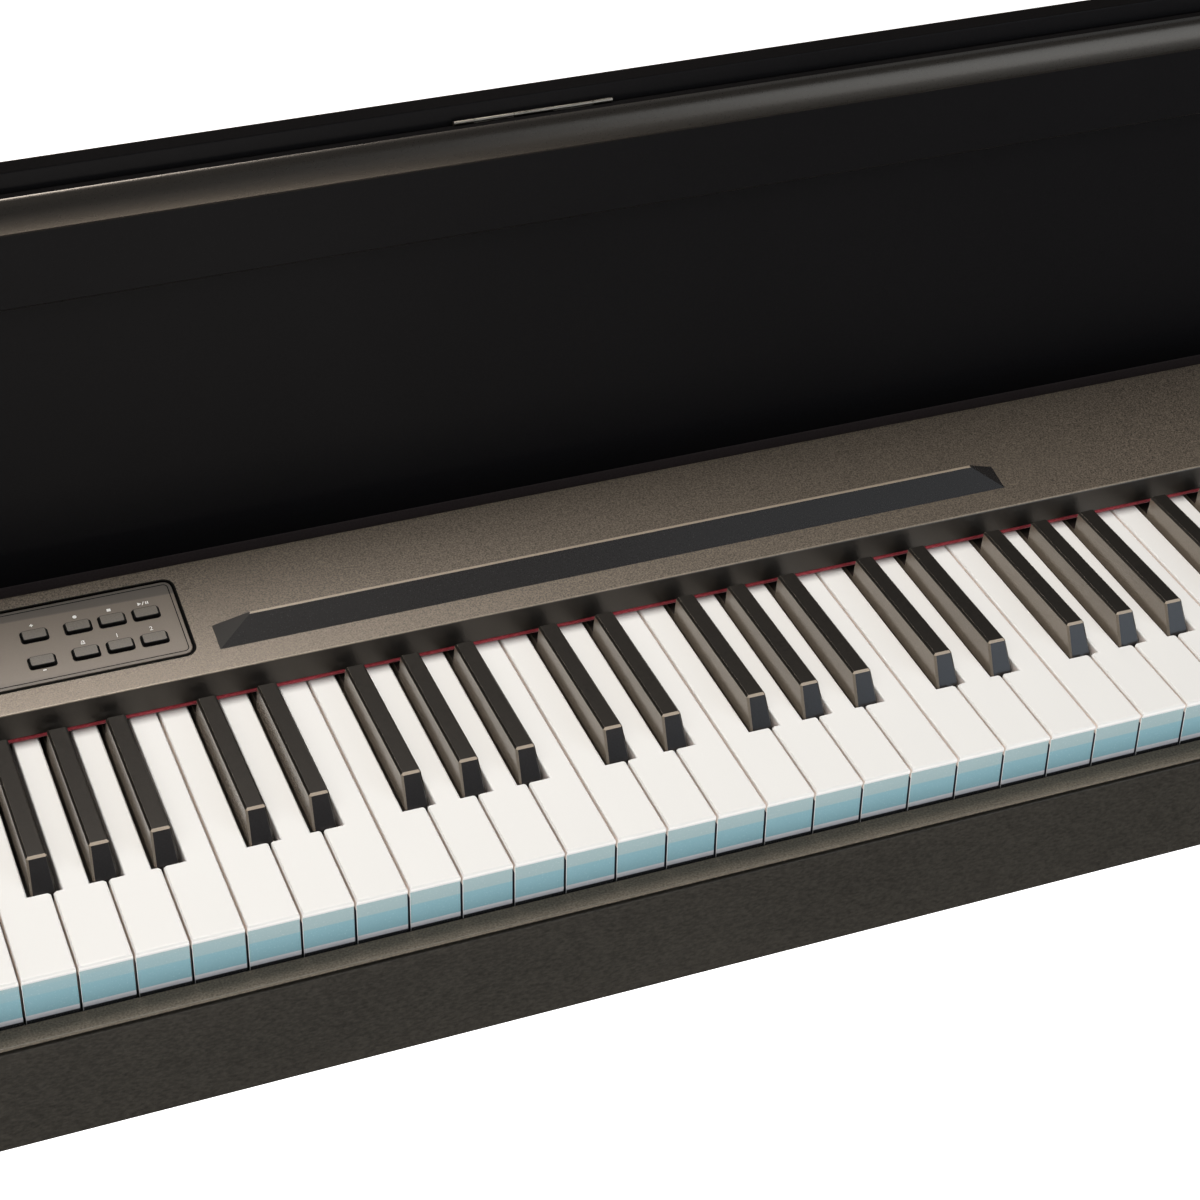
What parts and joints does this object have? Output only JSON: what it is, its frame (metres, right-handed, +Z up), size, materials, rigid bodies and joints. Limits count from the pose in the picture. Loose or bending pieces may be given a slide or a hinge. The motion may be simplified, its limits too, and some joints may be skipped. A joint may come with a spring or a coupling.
{
  "type": "digital piano",
  "caption": "Slim console digital piano: full keyboard with hinged keys, button panel, folding lid with hinged flap, stand with pedals.",
  "frame": {"origin": "centre of the bounding box at the floor, under the middle of the cabinet", "axes": "+X to the player's right (treble end), +Y to the wall behind, +Z up; the player sits at -Y"},
  "size_m": [1.355, 0.351, 0.94],
  "materials": {
    "cabinet": "dark brown-black laminate, fine grain, satin",
    "lid": "smooth black lacquer",
    "flap": "black-brown satin",
    "bracket": "black painted steel",
    "panel": "moulded brown-grey plastic, fine texture",
    "plate": "bronze plate, smooth",
    "felt": "red felt",
    "chassis": "grey painted steel",
    "circuit": "green circuit board",
    "black_plastic": "black moulded plastic",
    "white_key": "white key plastic, satin gloss",
    "black_key": "black key plastic, matte",
    "button": "brown-grey plastic",
    "pedal": "brass-coloured metal"
  },
  "bodies": {
    "cabinet": {"side_panel_left": "cabinet", "side_panel_right": "cabinet", "front_rail": "cabinet", "rear_top_board": "cabinet", "stand_back_board": "cabinet", "pedal_box": "cabinet", "back_panel": "cabinet", "keybed": "cabinet", "key_slip_cap": "panel", "top_panel": "panel", "control_plate": "plate", "felt_strip": "felt", "key_frame": "chassis", "switch_board": "circuit", "socket_block": "black_plastic", "speaker_left": "black_plastic", "speaker_right": "black_plastic", "white_key_bank": "white_key", "black_key_bank": "black_key"},
    "lid": {"lid_board": "lid", "lid_arm_left": "bracket", "lid_arm_right": "bracket"},
    "flap": {"lid_flap": "flap"},
    "key_c3": {"key_c3": "white_key"},
    "key_cs3": {"key_cs3": "black_key"},
    "key_d3": {"key_d3": "white_key"},
    "key_ds3": {"key_ds3": "black_key"},
    "key_e3": {"key_e3": "white_key"},
    "key_f3": {"key_f3": "white_key"},
    "key_fs3": {"key_fs3": "black_key"},
    "key_g3": {"key_g3": "white_key"},
    "key_gs3": {"key_gs3": "black_key"},
    "key_a3": {"key_a3": "white_key"},
    "key_as3": {"key_as3": "black_key"},
    "key_b3": {"key_b3": "white_key"},
    "key_c4": {"key_c4": "white_key"},
    "key_cs4": {"key_cs4": "black_key"},
    "key_d4": {"key_d4": "white_key"},
    "key_ds4": {"key_ds4": "black_key"},
    "key_e4": {"key_e4": "white_key"},
    "key_f4": {"key_f4": "white_key"},
    "key_fs4": {"key_fs4": "black_key"},
    "key_g4": {"key_g4": "white_key"},
    "key_gs4": {"key_gs4": "black_key"},
    "key_a4": {"key_a4": "white_key"},
    "key_as4": {"key_as4": "black_key"},
    "key_b4": {"key_b4": "white_key"},
    "button_plus": {"button_plus": "button"},
    "button_minus": {"button_minus": "button"},
    "button_record": {"button_record": "button"},
    "button_stop": {"button_stop": "button"},
    "button_play": {"button_play": "button"},
    "button_metronome": {"button_metronome": "button"},
    "button_part_1": {"button_part_1": "button"},
    "button_part_2": {"button_part_2": "button"},
    "power_button": {"power_button": "button"},
    "volume_knob": {"volume_knob": "black_plastic"},
    "pedal_left": {"pedal_left": "pedal"},
    "pedal_middle": {"pedal_middle": "pedal"},
    "pedal_right": {"pedal_right": "pedal"}
  },
  "joints": [
    {"name": "lid_hinge", "type": "hinge", "parent": "cabinet", "child": "lid", "pos_m": [0, 0.054, 0.716], "axis": [1, 0, 0], "range_deg": [0, 96]},
    {"name": "flap_hinge", "type": "hinge", "parent": "lid", "child": "flap", "pos_m": [0, 0.11416, 0.9325], "axis": [-1, 0, 0], "range_deg": [0, 90]},
    {"name": "key_c3", "type": "hinge", "parent": "cabinet", "child": "key_c3", "pos_m": [-0.22325, 0.0625, 0.7075], "axis": [1, 0, 0], "range_deg": [0, 2.62], "stiffness_Nm_per_rad": 0.4, "springref_deg": -34.38},
    {"name": "key_cs3", "type": "hinge", "parent": "cabinet", "child": "key_cs3", "pos_m": [-0.2139, 0.0745, 0.7075], "axis": [1, 0, 0], "range_deg": [0, 3.21], "stiffness_Nm_per_rad": 0.4, "springref_deg": -22.92},
    {"name": "key_d3", "type": "hinge", "parent": "cabinet", "child": "key_d3", "pos_m": [-0.19975, 0.0625, 0.7075], "axis": [1, 0, 0], "range_deg": [0, 2.62], "stiffness_Nm_per_rad": 0.4, "springref_deg": -34.38},
    {"name": "key_ds3", "type": "hinge", "parent": "cabinet", "child": "key_ds3", "pos_m": [-0.1857, 0.0745, 0.7075], "axis": [1, 0, 0], "range_deg": [0, 3.21], "stiffness_Nm_per_rad": 0.4, "springref_deg": -22.92},
    {"name": "key_e3", "type": "hinge", "parent": "cabinet", "child": "key_e3", "pos_m": [-0.17625, 0.0625, 0.7075], "axis": [1, 0, 0], "range_deg": [0, 2.62], "stiffness_Nm_per_rad": 0.4, "springref_deg": -34.38},
    {"name": "key_f3", "type": "hinge", "parent": "cabinet", "child": "key_f3", "pos_m": [-0.15275, 0.0625, 0.7075], "axis": [1, 0, 0], "range_deg": [0, 2.62], "stiffness_Nm_per_rad": 0.4, "springref_deg": -34.38},
    {"name": "key_fs3", "type": "hinge", "parent": "cabinet", "child": "key_fs3", "pos_m": [-0.144, 0.0745, 0.7075], "axis": [1, 0, 0], "range_deg": [0, 3.21], "stiffness_Nm_per_rad": 0.4, "springref_deg": -22.92},
    {"name": "key_g3", "type": "hinge", "parent": "cabinet", "child": "key_g3", "pos_m": [-0.12925, 0.0625, 0.7075], "axis": [1, 0, 0], "range_deg": [0, 2.62], "stiffness_Nm_per_rad": 0.4, "springref_deg": -34.38},
    {"name": "key_gs3", "type": "hinge", "parent": "cabinet", "child": "key_gs3", "pos_m": [-0.1175, 0.0745, 0.7075], "axis": [1, 0, 0], "range_deg": [0, 3.21], "stiffness_Nm_per_rad": 0.4, "springref_deg": -22.92},
    {"name": "key_a3", "type": "hinge", "parent": "cabinet", "child": "key_a3", "pos_m": [-0.10575, 0.0625, 0.7075], "axis": [1, 0, 0], "range_deg": [0, 2.62], "stiffness_Nm_per_rad": 0.4, "springref_deg": -34.38},
    {"name": "key_as3", "type": "hinge", "parent": "cabinet", "child": "key_as3", "pos_m": [-0.091, 0.0745, 0.7075], "axis": [1, 0, 0], "range_deg": [0, 3.21], "stiffness_Nm_per_rad": 0.4, "springref_deg": -22.92},
    {"name": "key_b3", "type": "hinge", "parent": "cabinet", "child": "key_b3", "pos_m": [-0.08225, 0.0625, 0.7075], "axis": [1, 0, 0], "range_deg": [0, 2.62], "stiffness_Nm_per_rad": 0.4, "springref_deg": -34.38},
    {"name": "key_c4", "type": "hinge", "parent": "cabinet", "child": "key_c4", "pos_m": [-0.05875, 0.0625, 0.7075], "axis": [1, 0, 0], "range_deg": [0, 2.62], "stiffness_Nm_per_rad": 0.4, "springref_deg": -34.38},
    {"name": "key_cs4", "type": "hinge", "parent": "cabinet", "child": "key_cs4", "pos_m": [-0.0494, 0.0745, 0.7075], "axis": [1, 0, 0], "range_deg": [0, 3.21], "stiffness_Nm_per_rad": 0.4, "springref_deg": -22.92},
    {"name": "key_d4", "type": "hinge", "parent": "cabinet", "child": "key_d4", "pos_m": [-0.03525, 0.0625, 0.7075], "axis": [1, 0, 0], "range_deg": [0, 2.62], "stiffness_Nm_per_rad": 0.4, "springref_deg": -34.38},
    {"name": "key_ds4", "type": "hinge", "parent": "cabinet", "child": "key_ds4", "pos_m": [-0.0212, 0.0745, 0.7075], "axis": [1, 0, 0], "range_deg": [0, 3.21], "stiffness_Nm_per_rad": 0.4, "springref_deg": -22.92},
    {"name": "key_e4", "type": "hinge", "parent": "cabinet", "child": "key_e4", "pos_m": [-0.01175, 0.0625, 0.7075], "axis": [1, 0, 0], "range_deg": [0, 2.62], "stiffness_Nm_per_rad": 0.4, "springref_deg": -34.38},
    {"name": "key_f4", "type": "hinge", "parent": "cabinet", "child": "key_f4", "pos_m": [0.01175, 0.0625, 0.7075], "axis": [1, 0, 0], "range_deg": [0, 2.62], "stiffness_Nm_per_rad": 0.4, "springref_deg": -34.38},
    {"name": "key_fs4", "type": "hinge", "parent": "cabinet", "child": "key_fs4", "pos_m": [0.0205, 0.0745, 0.7075], "axis": [1, 0, 0], "range_deg": [0, 3.21], "stiffness_Nm_per_rad": 0.4, "springref_deg": -22.92},
    {"name": "key_g4", "type": "hinge", "parent": "cabinet", "child": "key_g4", "pos_m": [0.03525, 0.0625, 0.7075], "axis": [1, 0, 0], "range_deg": [0, 2.62], "stiffness_Nm_per_rad": 0.4, "springref_deg": -34.38},
    {"name": "key_gs4", "type": "hinge", "parent": "cabinet", "child": "key_gs4", "pos_m": [0.047, 0.0745, 0.7075], "axis": [1, 0, 0], "range_deg": [0, 3.21], "stiffness_Nm_per_rad": 0.4, "springref_deg": -22.92},
    {"name": "key_a4", "type": "hinge", "parent": "cabinet", "child": "key_a4", "pos_m": [0.05875, 0.0625, 0.7075], "axis": [1, 0, 0], "range_deg": [0, 2.62], "stiffness_Nm_per_rad": 0.4, "springref_deg": -34.38},
    {"name": "key_as4", "type": "hinge", "parent": "cabinet", "child": "key_as4", "pos_m": [0.0735, 0.0745, 0.7075], "axis": [1, 0, 0], "range_deg": [0, 3.21], "stiffness_Nm_per_rad": 0.4, "springref_deg": -22.92},
    {"name": "key_b4", "type": "hinge", "parent": "cabinet", "child": "key_b4", "pos_m": [0.08225, 0.0625, 0.7075], "axis": [1, 0, 0], "range_deg": [0, 2.62], "stiffness_Nm_per_rad": 0.4, "springref_deg": -34.38},
    {"name": "button_plus", "type": "slide", "parent": "cabinet", "child": "button_plus", "axis": [0, 0.2055, -0.9787], "range_m": [0, 0.0008], "stiffness_N_per_m": 300, "springref_m": -0.001},
    {"name": "button_minus", "type": "slide", "parent": "cabinet", "child": "button_minus", "axis": [0, 0.2055, -0.9787], "range_m": [0, 0.0008], "stiffness_N_per_m": 300, "springref_m": -0.001},
    {"name": "button_record", "type": "slide", "parent": "cabinet", "child": "button_record", "axis": [0, 0.2055, -0.9787], "range_m": [0, 0.0008], "stiffness_N_per_m": 300, "springref_m": -0.001},
    {"name": "button_stop", "type": "slide", "parent": "cabinet", "child": "button_stop", "axis": [0, 0.2055, -0.9787], "range_m": [0, 0.0008], "stiffness_N_per_m": 300, "springref_m": -0.001},
    {"name": "button_play", "type": "slide", "parent": "cabinet", "child": "button_play", "axis": [0, 0.2055, -0.9787], "range_m": [0, 0.0008], "stiffness_N_per_m": 300, "springref_m": -0.001},
    {"name": "button_metronome", "type": "slide", "parent": "cabinet", "child": "button_metronome", "axis": [0, 0.2055, -0.9787], "range_m": [0, 0.0008], "stiffness_N_per_m": 300, "springref_m": -0.001},
    {"name": "button_part_1", "type": "slide", "parent": "cabinet", "child": "button_part_1", "axis": [0, 0.2055, -0.9787], "range_m": [0, 0.0008], "stiffness_N_per_m": 300, "springref_m": -0.001},
    {"name": "button_part_2", "type": "slide", "parent": "cabinet", "child": "button_part_2", "axis": [0, 0.2055, -0.9787], "range_m": [0, 0.0008], "stiffness_N_per_m": 300, "springref_m": -0.001},
    {"name": "power_button", "type": "slide", "parent": "cabinet", "child": "power_button", "axis": [0, 0.2055, -0.9787], "range_m": [0, 0.0008], "stiffness_N_per_m": 300, "springref_m": -0.001},
    {"name": "volume_knob", "type": "hinge", "parent": "cabinet", "child": "volume_knob", "pos_m": [-0.5, 0.03594, 0.74446], "axis": [0, -0.2055, 0.9787], "range_deg": [-135, 135]},
    {"name": "pedal_left", "type": "hinge", "parent": "cabinet", "child": "pedal_left", "pos_m": [-0.07, 0.0465, 0.06], "axis": [1, 0, 0], "range_deg": [0, 5], "stiffness_Nm_per_rad": 6, "springref_deg": -8.59},
    {"name": "pedal_middle", "type": "hinge", "parent": "cabinet", "child": "pedal_middle", "pos_m": [0, 0.0465, 0.06], "axis": [1, 0, 0], "range_deg": [0, 5], "stiffness_Nm_per_rad": 6, "springref_deg": -8.59},
    {"name": "pedal_right", "type": "hinge", "parent": "cabinet", "child": "pedal_right", "pos_m": [0.07, 0.0465, 0.06], "axis": [1, 0, 0], "range_deg": [0, 5], "stiffness_Nm_per_rad": 6, "springref_deg": -8.59}
  ]
}
